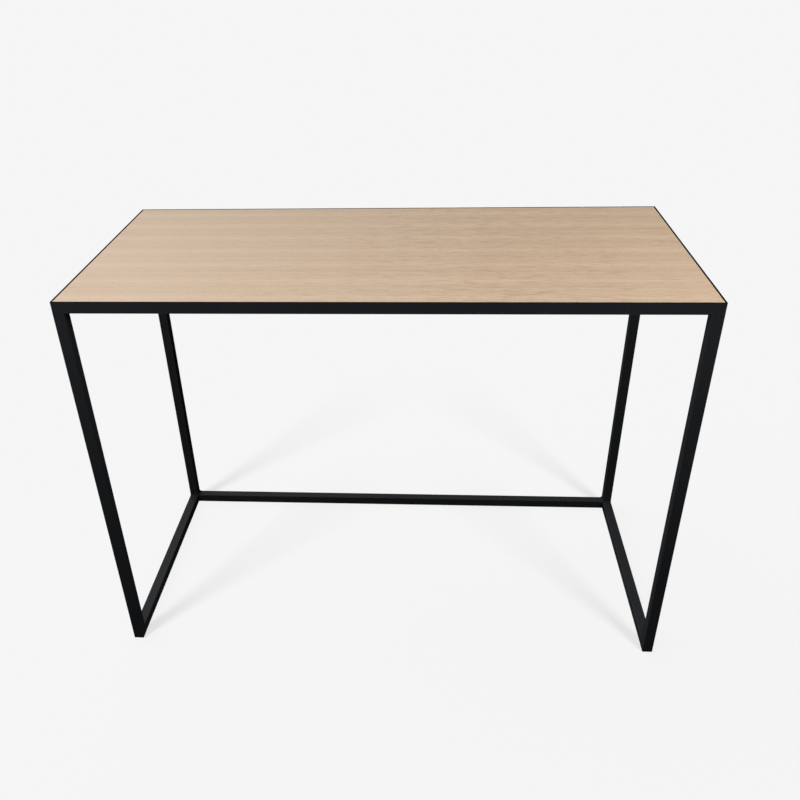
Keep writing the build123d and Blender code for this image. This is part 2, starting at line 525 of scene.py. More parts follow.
@dataclass(frozen=True)
class Finishes:
    """One material for each finish on the desk."""

    steel: Material = field(default_factory=PowderCoatedSteel().material)
    face: Material = field(default_factory=LacqueredOak().material)
    backing: Material = field(
        default_factory=LacqueredOak(
            name="oak_backing_veneer_sliced_sealed", late="#c5a98a", roughness=0.58, leaf_start=mm(61)
        ).material
    )
    edge_along: Material = field(
        default_factory=LacqueredOak(name="oak_edge_band_along_desk_lacquered", figure=0.7).material
    )
    edge_across: Material = field(
        default_factory=LacqueredOak(
            name="oak_edge_band_across_desk_lacquered", grain=Grain.ACROSS_DESK, figure=0.7
        ).material
    )
    core: Material = field(default_factory=PressedFibreboard().material)
    zinc: Material = field(default_factory=PassivatedZinc().material)
    rubber: Material = field(default_factory=MouldedRubber().material)


# ---------------------------------------------------------------------------------------------------------
# Outlines and meshes
# ---------------------------------------------------------------------------------------------------------


@dataclass(frozen=True)
class Corner:
    """A corner of a section: where it would be if sharp, and its radius."""

    across: float
    up: float
    radius: float = 0.0


@dataclass(frozen=True)
class OutlinePoint:
    """A point of a section's outline.

    out is the way out of the metal, arris is 1 on a rounded edge and 0 on a flat, and flat rises from 0
    beside an edge to 1 in the middle of a flat.
    """

    across: float
    up: float
    out: Vector
    arris: float = 0.0
    flat: float = 0.0


def outline(
    corners: Sequence[Corner], steps: int = 6, support: float = mm(0.7), flats: int = 3
) -> list[OutlinePoint]:
    """Rounds a section's corners, counter-clockwise, and sets points along its flats.

    Args:
        corners: The section's corners in order, with the metal on the left.
        steps: Steps in each rounded corner.
        support: From the end of a rounding to the next point on the flat.
        flats: Points between the supports of a long flat.

    Returns:
        The outline's points in order.
    """
    arcs: list[list[OutlinePoint]] = []
    for i, corner in enumerate(corners):
        here = Vector((corner.across, corner.up))
        back = (Vector((corners[i - 1].across, corners[i - 1].up)) - here).normalized()
        following = corners[(i + 1) % len(corners)]
        ahead = (Vector((following.across, following.up)) - here).normalized()
        if corner.radius == 0:
            arcs.append([OutlinePoint(here.x, here.y, -(back + ahead).normalized(), 1.0)])
            continue
        half_angle = back.angle(ahead) / 2
        centre = here + (back + ahead).normalized() * corner.radius / math.sin(half_angle)
        first = here + back * corner.radius / math.tan(half_angle) - centre
        last = here + ahead * corner.radius / math.tan(half_angle) - centre
        hollow = back.x * ahead.y - back.y * ahead.x > 0
        arc = []
        for step in range(steps + 1):
            t = step / steps
            ray = (first * (1 - t) + last * t).normalized()
            point = centre + ray * corner.radius
            crown = 0.0 if hollow else 1 - 0.5 * abs(2 * t - 1)
            arc.append(OutlinePoint(point.x, point.y, -ray if hollow else ray, crown))
        arcs.append(arc)
    points: list[OutlinePoint] = []
    for i, arc in enumerate(arcs):
        points += arc
        start = Vector((arc[-1].across, arc[-1].up))
        nearest = arcs[(i + 1) % len(arcs)][0]
        run = Vector((nearest.across, nearest.up)) - start
        if run.length < 3 * support:
            continue
        out = Vector((run.y, -run.x)).normalized()
        edge_share = support / run.length
        for k in range(flats + 2):
            share = edge_share + (1 - 2 * edge_share) * k / (flats + 1)
            spot = start + run * share
            level = math.sin(math.pi * share) if 0 < k < flats + 1 else 0.0
            points.append(OutlinePoint(spot.x, spot.y, out, 0.0, level))
    return points


def square(half: float, radius: float) -> list[OutlinePoint]:
    """The outline of a square section, of which half is half its width."""
    return outline([Corner(half * across, half * up, radius) for across, up in SQUARE])


def quarter(radius: float, steps: int) -> list[tuple[float, float]]:
    """The points of a rounded lower edge, from its foot up to the side.

    Args:
        radius: The rounding's radius.
        steps: Steps in it.

    Returns:
        For each point, how far in from the side it lies and how far up from the foot.
    """
    angles = [math.pi / 2 * k / steps for k in range(steps + 1)]
    return [(radius * (1 - math.sin(angle)), radius * (1 - math.cos(angle))) for angle in angles]


def circle(radius: float, level: float, count: int) -> list[Vector]:
    """Evenly spaced points round the Z axis at one level."""
    angles = [2 * math.pi * i / count for i in range(count)]
    return [Vector((radius * math.cos(angle), radius * math.sin(angle), level)) for angle in angles]


class Draft:
    """Vertices and faces of one piece while it is being made, with each vertex's edge and ground finish."""

    def __init__(self) -> None:
        """Starts an empty draft."""
        self.points: list[Vector] = []
        self.faces: list[tuple[int, ...]] = []
        self.arris: list[float] = []
        self.ground: list[float] = []
        self.lip: list[float] = []

    def ring(
        self,
        points: Iterable[Vector],
        arris: Iterable[float] = (),
        ground: float = 0.0,
        lip: Iterable[float] = (),
    ) -> range:
        """Adds a ring of vertices.

        Args:
            points: The ring's points in order.
            arris: How much of a rounded edge each one is, or nothing for none.
            ground: How much the metal was ground here.
            lip: How much of the lip's narrow top each one is, or nothing for none.

        Returns:
            The ring's vertex numbers.
        """
        first = len(self.points)
        self.points += points
        count = len(self.points) - first
        self.arris += list(arris) or [0.0] * count
        self.ground += [ground] * count
        self.lip += list(lip) or [0.0] * count
        return range(first, len(self.points))

    def bridge(self, one: Sequence[int], other: Sequence[int]) -> None:
        """Joins two rings of the same count with four-sided faces.

        Args:
            one: The first ring.
            other: The second ring.
        """
        for i in range(len(one)):
            j = (i + 1) % len(one)
            self.faces.append((one[i], one[j], other[j], other[i]))

    def loft(self, rings: Sequence[Sequence[int]], capped: bool = True) -> None:
        """Joins rings one after another, and closes both ends if capped.

        Args:
            rings: The rings in order.
            capped: Whether the first and last rings get a face.
        """
        for one, other in zip(rings, rings[1:]):
            self.bridge(one, other)
        if capped:
            self.faces += [tuple(rings[0]), tuple(rings[-1])]

    def mesh(self, name: str) -> Mesh:
        """Makes the mesh, with its faces turned outwards and its edge and ground values kept.

        Args:
            name: The mesh's name.

        Returns:
            The mesh.
        """
        mesh = bpy.data.meshes.new(name)
        mesh.from_pydata([tuple(p) for p in self.points], [], self.faces)
        for label, values in (("arris", self.arris), ("ground", self.ground), ("lip", self.lip)):
            mesh.attributes.new(label, "FLOAT", "POINT").data.foreach_set("value", values)
        work = bmesh.new()
        work.from_mesh(mesh)
        bmesh.ops.remove_doubles(work, verts=work.verts, dist=SAME_PLACE)
        bmesh.ops.recalc_face_normals(work, faces=work.faces)
        work.to_mesh(mesh)
        work.free()
        return mesh


def stand_piece(mesh: Mesh, material: Material, node: str) -> Object:
    """Sets a mesh in the place of a CAD node, shades it smooth between its sharp edges and lets it ride.

    Args:
        mesh: The piece's mesh, in the desk's frame.
        material: Its finish.
        node: The CAD node that it stands for.

    Returns:
        The piece.
    """
    mesh.materials.append(material)
    mesh.shade_smooth()
    mesh.set_sharp_from_angle(angle=SHARP_ANGLE)
    piece = bpy.data.objects.new(f"{node}.made", mesh)
    bpy.context.scene.collection.objects.link(piece)
    weighted = piece.modifiers.new("flats stay flat", "WEIGHTED_NORMAL")
    weighted.keep_sharp = True
    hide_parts(node)
    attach(piece, BODY)
    return piece


def box_size(node: str) -> tuple[Vector, Vector]:
    """A CAD node's middle and its size.

    Args:
        node: The node's name.

    Returns:
        The middle of its box, and its three lengths.
    """
    low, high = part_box(node)
    return (low + high) / 2, high - low


def drilled(mesh: Mesh, drill: Mesh) -> Mesh:
    """Cuts one mesh out of another.

    Args:
        mesh: The metal, which is used up.
        drill: What is taken away, which is used up too.

    Returns:
        The drilled mesh, with its edge and ground values.
    """
    metal = bpy.data.objects.new("metal", mesh)
    cutter = bpy.data.objects.new("cutter", drill)
    for held in (metal, cutter):
        bpy.context.scene.collection.objects.link(held)
    cut = metal.modifiers.new("holes", "BOOLEAN")
    cut.operation = "DIFFERENCE"
    cut.solver = "EXACT"
    cut.object = cutter
    bpy.context.view_layer.update()
    result = bpy.data.meshes.new_from_object(metal.evaluated_get(bpy.context.evaluated_depsgraph_get()))
    for held in (metal, cutter):
        bpy.data.objects.remove(held)
    return result


# ---------------------------------------------------------------------------------------------------------
# The steel frame
# ---------------------------------------------------------------------------------------------------------


@dataclass
class SteelTube:
    """A length of square tube between two welds, with a bore, rounded edges and slightly hollow flats."""

    node: str
    run: Run
    material: Material
    edge_radius: float = mm(1.2)
    wall: float = mm(1.5)
    bore_radius: float = mm(0.4)
    flat_hollow: float = mm(0.06)
    seam_depth: float = mm(0.08)
    seam_width: float = mm(0.35)
    ground_reach: float = mm(16)
    ground_depth: float = mm(0.1)
    chatter_width: float = mm(5)  # between the grinder's marks
    edge_cut: float = 0.3  # how much of the grinding reaches the rounded edges
    fine_step: float = mm(2)
    long_step: float = mm(24)

    def stations(self, length: float) -> list[float]:
        """Where the rings stand: close together near the welds and far apart between.

        Args:
            length: The tube's length.

        Returns:
            Distances from the tube's start.
        """
        count = round(self.ground_reach / self.fine_step)
        near = [0.0, self.seam_width] + [self.fine_step * k for k in range(1, count + 1)]
        span = length - 2 * near[-1]
        steps = max(1, round(span / self.long_step))
        middle = [near[-1] + span * k / steps for k in range(1, steps)]
        return near + middle + [length - d for d in reversed(near)]

    def sunk(self, distance: float, flat: float, seed: float) -> tuple[float, float]:
        """How far the surface lies below the plain section, and how much it was ground.

        Args:
            distance: From the nearer end.
            flat: 1 in the middle of a flat, 0 at an edge.
            seed: A number that is different on each tube.

        Returns:
            The depth in metres, and the grinding from 0 to 1.
        """
        if distance < self.seam_width / 2:
            return self.seam_depth, 1.0
        ground = max(0.0, 1 - distance / self.ground_reach)
        ground = ground * ground * (3 - 2 * ground)
        chatter = 0.5 + 0.5 * noise.noise(Vector((distance / self.chatter_width, 4 * flat, seed)))
        cut = self.ground_depth * ground * chatter * (self.edge_cut + (1 - self.edge_cut) * flat)
        return self.flat_hollow * flat + cut, ground

    def build(self) -> Object:
        """Makes the tube.

        Returns:
            The piece, in its CAD node's place.
        """
        low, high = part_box(self.node)
        middle = (low + high) / 2
        axis = self.run.value
        length = high[axis] - low[axis]
        across, up = (axis + 1) % 3, (axis + 2) % 3
        half = (high[across] - low[across]) / 2
        skin = square(half, self.edge_radius)
        bore = square(half - self.wall, self.bore_radius)
        seed = middle.x * 7 + middle.y * 13

        def placed(distance: float, a: float, b: float) -> Vector:
            """A point of the tube in the desk's frame.

            Args:
                distance: From the tube's start.
                a: Across the section.
                b: Up the section.

            Returns:
                The point.
            """
            point = middle.copy()
            point[axis] = low[axis] + distance
            point[across] += a
            point[up] += b
            return point

        draft = Draft()
        rings = []
        for distance in self.stations(length):
            near = min(distance, length - distance)
            points = []
            for p in skin:
                depth, ground = self.sunk(near, p.flat, seed + distance)
                points.append(placed(distance, p.across - depth * p.out.x, p.up - depth * p.out.y))
            rings.append(draft.ring(points, [p.arris for p in skin], ground))
        draft.loft(rings, capped=False)
        lining = [draft.ring(placed(d, p.across, p.up) for p in bore) for d in (0.0, length)]
        draft.loft(lining, capped=False)
        draft.bridge(rings[0], lining[0])
        draft.bridge(rings[-1], lining[-1])
        return stand_piece(draft.mesh(self.node), self.material, self.node)


@dataclass
class TopFrame:
    """The mitred ring of equal angle: a thin lip outside, and a flange under the board with screw holes."""

    material: Material
    corner_radius: float = mm(1.2)
    root_radius: float = mm(2.0)
    toe_radius: float = mm(1.0)
    lip_radius: float = mm(0.5)
    heel_radius: float = mm(0.3)
    seam_depth: float = mm(0.05)
    face_hollow: float = mm(0.05)
    lip_depth: float = mm(0.35)  # how far down the lip's narrow top reaches
    ground_reach: float = mm(20)
    ground_depth: float = mm(0.08)
    ground_steps: int = 6
    chatter_width: float = mm(6)
    corner_steps: int = 5
    long_step: float = mm(25)
    hole_diameter: float = mm(4.0)
    hole_sides: int = 28
    flat_start: float = mm(0.4)  # from the end of a rounding to the first point of the flat
    screw_end_distance: float = mm(90)
    screws: dict[str, int] = field(default_factory=lambda: {"front": 4, "rear": 4, "left": 2, "right": 2})

    def __post_init__(self) -> None:
        """Takes the ring's sizes from the CAD parts."""
        left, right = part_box("top_rail_left"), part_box("top_rail_right")
        front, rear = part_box("top_rail_front"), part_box("top_rail_rear")
        self.width = right[1].x - left[0].x
        self.depth = rear[1].y - front[0].y
        self.base, self.top = front[0].z, front[1].z
        self.section = self.top - self.base
        self.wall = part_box("desktop_backing_veneer")[0].z - self.base

    def seats(self) -> dict[str, tuple[Matrix, float]]:
        """Each rail's place and length.

        Returns:
            By side: the matrix from the rail's own frame, in which the outside is at y = 0 and the inside
            is towards +Y, and the rail's length.
        """
        ways = {"front": (0, -1, 0), "rear": (0, 1, 2), "left": (-1, 0, -1), "right": (1, 0, 1)}
        seats = {}
        for side, (x, y, quarters) in ways.items():
            place = Matrix.Translation((x * self.width / 2, y * self.depth / 2, self.base))
            turn = Matrix.Rotation(quarters * math.pi / 2, 4, "Z")
            seats[side] = (place @ turn, self.width if y else self.depth)
        return seats

    def screw_places(self, side: str, length: float) -> list[Vector]:
        """Where the screws come through a rail, in its own frame.

        Args:
            side: The rail's side.
            length: The rail's length.

        Returns:
            The points on the flange's underside.
        """
        count = self.screws[side]
        reach = length / 2 - self.screw_end_distance
        inwards = (self.wall + self.section) / 2
        return [Vector((reach * (2 * i / (count - 1) - 1), inwards, 0)) for i in range(count)]

    def profile(self) -> list[OutlinePoint]:
        """The angle's section: across is inwards from the outside, up is from the flange's underside.

        Returns:
            The section's outline.
        """
        corners = (
            Corner(0, 0, self.heel_radius),
            Corner(self.section, 0, self.heel_radius),
            Corner(self.section, self.wall, self.toe_radius),
            Corner(self.wall, self.wall, self.root_radius),
            Corner(self.wall, self.section, self.toe_radius),
            Corner(0, self.section, self.lip_radius),
        )
        return outline(corners, support=self.flat_start)

    def end_stations(self) -> list[tuple[float, float]]:
        """The rings at a mitred end.

        Returns:
            For each ring, its distance from the mitre, and how far in the rounded outer corner reaches
            there.
        """
        stations = []
        for k in range(self.corner_steps + 1):
            angle = math.radians(45) * (1 - k / self.corner_steps)
            distance = self.corner_radius * (math.cos(angle) - math.sin(angle))
            stations.append((distance, self.corner_radius * (1 - math.cos(angle))))
        for k in range(1, self.ground_steps + 1):
            stations.append((self.ground_reach * (k / self.ground_steps), 0.0))
        return stations

    def rail(self, side: str, seat: Matrix, length: float) -> Object:
        """Makes one rail of the ring.

        Args:
            side: The rail's side.
            seat: The matrix from its own frame.
            length: Its length over the outside.

        Returns:
            The piece, in its CAD node's place.
        """
        profile = self.profile()
        ends = self.end_stations()
        plain = length / 2 - self.section - ends[-1][0]
        steps = max(1, round(2 * plain / self.long_step))
        top = max(p.up for p in profile)
        arris = [p.arris for p in profile]
        # the lip's narrow top, where the coat's colour is painted near black as painted shade
        lip = [1.0 if top - p.up < self.lip_depth else 0.0 for p in profile]
        draft = Draft()
        rings = []
        for sign in (-1, 1):
            for distance, corner in ends if sign < 0 else reversed(ends):
                ground = max(0.0, 1 - distance / self.ground_reach)
                points = []
                for p in profile:
                    inwards = max(p.across, corner)
                    spot = Vector((distance / self.chatter_width, p.up / self.chatter_width, length * sign))
                    chatter = 0.5 + 0.5 * noise.noise(spot)
                    depth = self.face_hollow * p.flat + self.ground_depth * ground * chatter * p.flat
                    depth = max(depth, self.seam_depth if distance == 0 and corner == ends[0][1] else 0.0)
                    inwards = max(inwards - depth * p.out.x, 0.0)
                    x = sign * (length / 2 - inwards - distance)
                    points.append(seat @ Vector((x, inwards, p.up - depth * p.out.y)))
                rings.append(draft.ring(points, arris, ground, lip))
            if sign < 0:
                for k in range(steps + 1):
                    x = plain * (2 * k / steps - 1)
                    points = [
                        seat @ Vector((x, p.across - self.face_hollow * p.flat * p.out.x, p.up))
                        for p in profile
                    ]
                    rings.append(draft.ring(points, arris, 0.0, lip))
        draft.loft(rings)
        mesh = draft.mesh(f"top_rail_{side}")
        drill = Draft()
        for place in self.screw_places(side, length):
            self.bore(drill, seat @ place)
        cut = drilled(mesh, drill.mesh("drill"))
        return stand_piece(cut, self.material, f"top_rail_{side}")

    def bore(self, drill: Draft, centre: Vector) -> None:
        """Adds one drilled hole's shape.

        Args:
            drill: The draft that it goes into.
            centre: The hole's middle on the flange's underside.
        """
        rings = []
        for level in (-self.wall, 2 * self.wall):
            points = circle(self.hole_diameter / 2, level, self.hole_sides)
            rings.append(drill.ring(centre + point for point in points))
        drill.loft(rings)

    def build(self) -> list[Object]:
        """Makes the four rails.

        Returns:
            The pieces.
        """
        return [self.rail(side, seat, length) for side, (seat, length) in self.seats().items()]


@dataclass
class EndPlate:
    """The square plate that closes a leg at the bottom, welded round and ground flush."""

    node: str
    material: Material
    edge_radius: float = mm(1.2)
    lower_round: float = mm(0.5)
    seam_depth: float = mm(0.08)
    seam_width: float = mm(0.25)
    round_steps: int = 4

    def build(self) -> Object:
        """Makes the plate.

        Returns:
            The piece, in its CAD node's place.
        """
        low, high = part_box(self.node)
        middle = (low + high) / 2
        skin = square((high.x - low.x) / 2, self.edge_radius)
        levels = [(rise, inset) for inset, rise in quarter(self.lower_round, self.round_steps)]
        height = high.z - low.z
        levels += [(height - self.seam_width, 0.0), (height, self.seam_depth)]
        draft = Draft()
        rings = []
        for level, inset in levels:
            edge = 1.0 if level < self.lower_round else 0.0
            points = []
            for p in skin:
                x, y = middle.x + p.across - inset * p.out.x, middle.y + p.up - inset * p.out.y
                points.append(Vector((x, y, low.z + level)))
            rings.append(draft.ring(points, [max(edge, p.arris) for p in skin], 1.0))
        draft.loft(rings)
        return stand_piece(draft.mesh(self.node), self.material, self.node)


@dataclass
class RailWeld:
    """Weld metal where a floor rail butts a leg: a rippled hollow fillet on top, and filled side grooves.

    In its own frame the leg's axis is at x = 0, and the rail leaves it towards +X. The rail's lower face is
    at z = 0.
    """

    node: str
    leg: str
    turn: float  # about +Z, from the weld's own frame, in radians
    material: Material
    grooves: tuple[int, ...] = (-1, 1)  # the sides of the leg that this weld fills
    edge_radius: float = mm(1.2)
    ripple_pitch: float = mm(1.2)
    ripple_height: float = mm(0.16)
    ripple_bow: float = 0.9
    end_taper: float = 0.3
    wander: float = 0.05
    wander_width: float = mm(4)
    step: float = mm(0.25)
    arc_steps: int = 12
    groove_ground: float = 0.6
    groove_levels: int = 24
    groove_steps: int = 6

    def __post_init__(self) -> None:
        """Takes the sizes and the place from the CAD parts."""
        middle, size = box_size(self.leg)
        low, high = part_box(self.node)
        self.half = size.x / 2
        self.bead_leg = high.z - low.z - size.x
        self.seat = Matrix.Translation((middle.x, middle.y, low.z)) @ Matrix.Rotation(self.turn, 4, "Z")

    def drop(self, across: float) -> float:
        """How far a rounded edge has fallen away from its flat, this far from the section's middle."""
        past = max(0.0, abs(across) - (self.half - self.edge_radius))
        return self.edge_radius - math.sqrt(max(0.0, self.edge_radius**2 - past**2))

    def bead(self, draft: Draft) -> None:
        """Adds the fillet on top of the rail.

        Args:
            draft: The piece's draft.
        """
        count = round(2 * self.half / self.step)
        rings = []
        for i in range(count + 1):
            y = -self.half + 2 * self.half * i / count
            fall = self.drop(y)
            behind = fall if (1 if y > 0 else -1) in self.grooves else 0.0
            size = self.bead_leg * (1 - self.end_taper * (fall / self.edge_radius) ** 2)
            spot = Vector((y / self.wander_width, self.turn, self.seat.translation.x))
            size = min(self.bead_leg, size * (1 + self.wander * noise.noise(spot)))
            centre = (self.half + size, 2 * self.half + size)
            points = [Vector((self.half - behind, y, 2 * self.half + size))]
            for k in range(self.arc_steps + 1):
                t = k / self.arc_steps
                angle = math.pi + math.pi / 2 * t
                crown = math.sin(math.pi * t)
                wave = 0.5 - 0.5 * math.cos(2 * math.pi * (y / self.ripple_pitch + self.ripple_bow * crown))
                radius = size + self.ripple_height * wave * crown
                x, z = centre[0] + radius * math.cos(angle), centre[1] + radius * math.sin(angle)
                points.append(Vector((x, y, z)))
            points.append(Vector((self.half + size, y, 2 * self.half - fall)))
            points.append(Vector((self.half - behind, y, 2 * self.half - fall)))
            rings.append(draft.ring([self.seat @ p for p in points]))
        draft.loft(rings)

    def groove(self, draft: Draft, side: int) -> None:
        """Adds the metal that fills the groove beside the leg's rounded edge.

        Args:
            draft: The piece's draft.
            side: -1 or 1, along the weld's own Y.
        """
        shoulder = self.half - self.edge_radius
        rings = []
        for i in range(self.groove_levels + 1):
            share = 0.5 - 0.5 * math.cos(math.pi * i / self.groove_levels)
            z = 2 * self.half * share
            reach = self.edge_radius - self.drop(z - self.half)
            last = math.asin(min(1.0, reach / self.edge_radius))
            points = []
            for k in range(self.groove_steps + 1):
                angle = last * k / self.groove_steps
                x = shoulder + self.edge_radius * math.cos(angle)
                y = side * (shoulder + self.edge_radius * math.sin(angle))
                points.append(Vector((x, y, z)))
            points.append(Vector((self.half, side * (shoulder + reach), z)))
            rings.append(draft.ring([self.seat @ p for p in points], ground=self.groove_ground))
        draft.loft(rings)

    def build(self) -> Object:
        """Makes the weld.

        Returns:
            The piece, in its CAD node's place.
        """
        draft = Draft()
        self.bead(draft)
        for side in self.grooves:
            self.groove(draft, side)
        return stand_piece(draft.mesh(self.node), self.material, self.node)


@dataclass
class FloorPad:
    """A round rubber pad under an end plate, with a rounded tread edge and a shallow dish underneath."""

    node: str
    material: Material
    edge_radius: float = mm(0.4)
    edge_steps: int = 6
    dish_radius: float = mm(5.2)
    dish_depth: float = mm(0.25)
    draft_angle: float = math.radians(3)
    count: int = 48

    def build(self) -> Object:
        """Turns the pad on its axis.

        Returns:
            The piece, in its CAD node's place.
        """
        middle, size = box_size(self.node)
        radius, height = size.x / 2, size.z
        top_radius = radius - height * math.tan(self.draft_angle)
        profile = [(0.0, self.dish_depth), (self.dish_radius - self.dish_depth, self.dish_depth)]
        profile.append((self.dish_radius, 0.0))
        rounding = quarter(self.edge_radius, self.edge_steps)
        profile += [(radius - inset, rise) for inset, rise in rounding]
        profile += [(top_radius, height), (0.0, height)]
        draft = Draft()
        turned(draft, profile, Vector((middle.x, middle.y, middle.z - height / 2)), self.count)
        return stand_piece(draft.mesh(self.node), self.material, self.node)


def turned(draft: Draft, profile: Sequence[tuple[float, float]], base: Vector, count: int) -> None:
    """Turns a profile about an upright axis. It starts and ends on the axis.

    Args:
        draft: The piece's draft.
        profile: Radii and heights, from the lower pole to the upper one.
        base: The point on the axis at height 0.
        count: Sides all the way round.
    """
    rings = []
    for radius, height in profile:
        rings.append(draft.ring(base + point for point in circle(radius, height, count)))
    draft.loft(rings, capped=False)


# ---------------------------------------------------------------------------------------------------------
# The board and its screws
# ---------------------------------------------------------------------------------------------------------


@dataclass
class Board:
    """The veneered board: a face sheet with eased joints, four edge bands, and the CAD core and backing."""

    finishes: Finishes
    arris: float = mm(0.3)
    joint_ease: float = mm(0.05)
    arris_steps: int = 4
    band_steps: int = 24
    flat_start: float = mm(0.15)  # from the end of a rounding to the first point of the flat

    def face(self) -> Object:
        """Makes the face veneer, a thin sheet whose edges are eased where they meet the bands.

        Returns:
            The piece, in its CAD node's place.
        """
        node = "desktop_face_veneer"
        low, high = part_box(node)
        draft = Draft()
        rings = []
        for z, inset in ((low.z, 0.0), (high.z - self.joint_ease, 0.0), (high.z, self.joint_ease)):
            near = {-1: (low.x + inset, low.y + inset), 1: (high.x - inset, high.y - inset)}
            rings.append(draft.ring(Vector((near[a][0], near[b][1], z)) for a, b in SQUARE))
        draft.loft(rings)
        return stand_piece(draft.mesh(node), self.finishes.face, node)

    def band(self, side: str, run: Run, outwards: int, material: Material) -> Object:
        """Makes one edge band, with an eased top edge and a bevelled foot.

        Args:
            side: The side that it covers.
            run: Which way it runs, along the width or the depth.
            outwards: 1 or -1, the way out of the board on the other axis.
            material: Its finish.

        Returns:
            The piece, in its CAD node's place.
        """
        node = f"edge_band_{side}"
        low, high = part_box(node)
        along_axis, thickness_axis = run.value, 1 - run.value
        inner = low[thickness_axis] if outwards > 0 else high[thickness_axis]
        thickness = high[thickness_axis] - low[thickness_axis]
        corners = (
            Corner(0, low.z),
            Corner(thickness, low.z + thickness),
            Corner(thickness, high.z, self.arris),
            Corner(0, high.z, self.joint_ease),
        )
        section = outline(corners, steps=self.arris_steps, support=self.flat_start, flats=1)
        draft = Draft()
        rings = []
        for k in range(self.band_steps + 1):
            along = low[along_axis] + (high[along_axis] - low[along_axis]) * k / self.band_steps
            points = []
            for p in section:
                point = Vector((0, 0, p.up))
                point[along_axis] = along
                point[thickness_axis] = inner + outwards * p.across
                points.append(point)
            rings.append(draft.ring(points, [p.arris for p in section]))
        draft.loft(rings)
        return stand_piece(draft.mesh(node), material, node)

    def build(self) -> list[Object]:
        """Makes the face and the bands, and gives the core and the backing their finishes.

        Returns:
            The pieces.
        """
        pieces = [self.face()]
        for end, sign in ENDS.items():
            pieces.append(self.band(end, Run.WIDTH, sign, self.finishes.edge_along))
        for side, sign in SIDES.items():
            pieces.append(self.band(side, Run.DEPTH, sign, self.finishes.edge_across))
        for node, material in (
            ("desktop_core", self.finishes.core),
            ("desktop_backing_veneer", self.finishes.backing),
        ):
            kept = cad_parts[node]
            kept.data.materials.clear()
            kept.data.materials.append(material)
            pieces.append(kept)
        return pieces


@dataclass
class PanelScrews:
    """Pan-head screws up through the flange into the board, with a cross recess and a rolled thread."""

    top: TopFrame
    material: Material
    shank_diameter: float = mm(3.5)
    root_diameter: float = mm(2.4)
    head_diameter: float = mm(7.0)
    head_height: float = mm(2.4)
    head_radius: float = mm(1.2)
    head_steps: int = 8
    rim: float = mm(0.1)  # the bevel round the head's seat
    tip_length: float = mm(3.0)
    pitch: float = mm(1.4)
    ridge_half: float = 0.22  # half a ridge's width, as a share of the pitch
    recess_width: float = mm(1.0)
    recess_span: float = mm(4.0)
    recess_depth: float = mm(1.6)
    recess_draft: float = mm(0.25)
    press_rise: float = mm(0.5)  # how far the press stands out of the crown
    turn_between: float = math.radians(137)  # from one screw to the next
    count: int = 40
    turn_steps: int = 20
    pitch_steps: int = 8

    def head(self) -> Mesh:
        """Turns the head, with its crown down, and presses the cross into it.

        Returns:
            The head's mesh, seated at z = 0.
        """
        radius = self.head_diameter / 2
        profile = [(0.0, -self.head_height)]
        rounding = quarter(self.head_radius, self.head_steps)
        profile += [(radius - inset, rise - self.head_height) for inset, rise in rounding]
        profile += [(radius, -self.rim), (radius - self.rim, 0.0), (0.0, 0.0)]
        draft = Draft()
        turned(draft, profile, Vector((0, 0, 0)), self.count)
        press = Draft()
        half, span = self.recess_width / 2, self.recess_span / 2
        rings = []
        for rise, draw in ((-self.press_rise, 0.0), (self.recess_depth, 1.0)):
            h, s = half - draw * self.recess_draft / 2, span - draw * self.recess_draft * 2
            arm = ((s, -h), (s, h), (h, h))  # one arm of the cross, which comes again at each quarter turn
            quarters = ((1, 0), (0, 1), (-1, 0), (0, -1))
            cross = [(x * c - y * t, x * t + y * c) for c, t in quarters for x, y in arm]
            rings.append(press.ring(Vector((x, y, rise - self.head_height)) for x, y in cross))
        press.loft(rings)
        return drilled(draft.mesh("head"), press.mesh("press"))

    def thread(self, draft: Draft, reach: float) -> None:
        """Adds the threaded shank as one skin, whose radius follows a helix and closes at the tip.

        Args:
            draft: The screws' draft.
            reach: From the head's seat to the tip.
        """
        step = self.pitch / self.pitch_steps
        rings = []
        for level in [step * k for k in range(round(reach / step))] + [reach]:
            taper = min(1.0, (reach - level) / self.tip_length)
            points = []
            for i in range(self.turn_steps):
                phase = (level / self.pitch + i / self.turn_steps) % 1.0
                ridge = max(0.0, 1 - abs(phase - 0.5) / self.ridge_half)
                diameter = self.root_diameter + (self.shank_diameter - self.root_diameter) * ridge
                angle = -2 * math.pi * i / self.turn_steps
                radius = diameter / 2 * taper
                points.append(Vector((radius * math.cos(angle), radius * math.sin(angle), level)))
            rings.append(draft.ring(points))
        draft.loft(rings)

    def build(self) -> Object:
        """Makes one screw and stands a copy in each hole, a little turned.

        Returns:
            The piece that holds all the screws, in their CAD node's place.
        """
        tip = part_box("panel_screws")[1].z
        draft = Draft()
        self.thread(draft, tip - self.top.base)
        master = bmesh.new()
        for part in (draft.mesh("shank"), self.head()):
            master.from_mesh(part)
        master_mesh = bpy.data.meshes.new("screw")
        master.to_mesh(master_mesh)
        master.free()
        group = bmesh.new()
        turn = 0.0
        for side, (seat, length) in self.top.seats().items():
            for place in self.top.screw_places(side, length):
                turn += self.turn_between
                copy = master_mesh.copy()
                copy.transform(Matrix.Translation(seat @ place) @ Matrix.Rotation(turn, 4, "Z"))
                group.from_mesh(copy)
        mesh = bpy.data.meshes.new("panel_screws")
        group.to_mesh(mesh)
        group.free()
        return stand_piece(mesh, self.material, "panel_screws")


# ---------------------------------------------------------------------------------------------------------
# The studio
# ---------------------------------------------------------------------------------------------------------


@dataclass(frozen=True)
class FloorSun:
    """A soft far light that only draws the faint shadow of one side's legs on the floor."""

    side: str
    heading: float  # where its shadows run on the floor, from +X towards +Y, in degrees
    height: float = 47.0  # above the horizon, in degrees
    softness: float = 13.0  # its width in the sky, in degrees
    strength: float = 6.0


@dataclass(frozen=True)
class Softbox:
    """A soft light that lights the desk and not the floor."""

    name: str
    place: tuple[float, float, float]
    width: float
    height: float
    power: float  # in watts
    lit: tuple[str, ...] = ("",)  # how the names of the pieces that it lights start


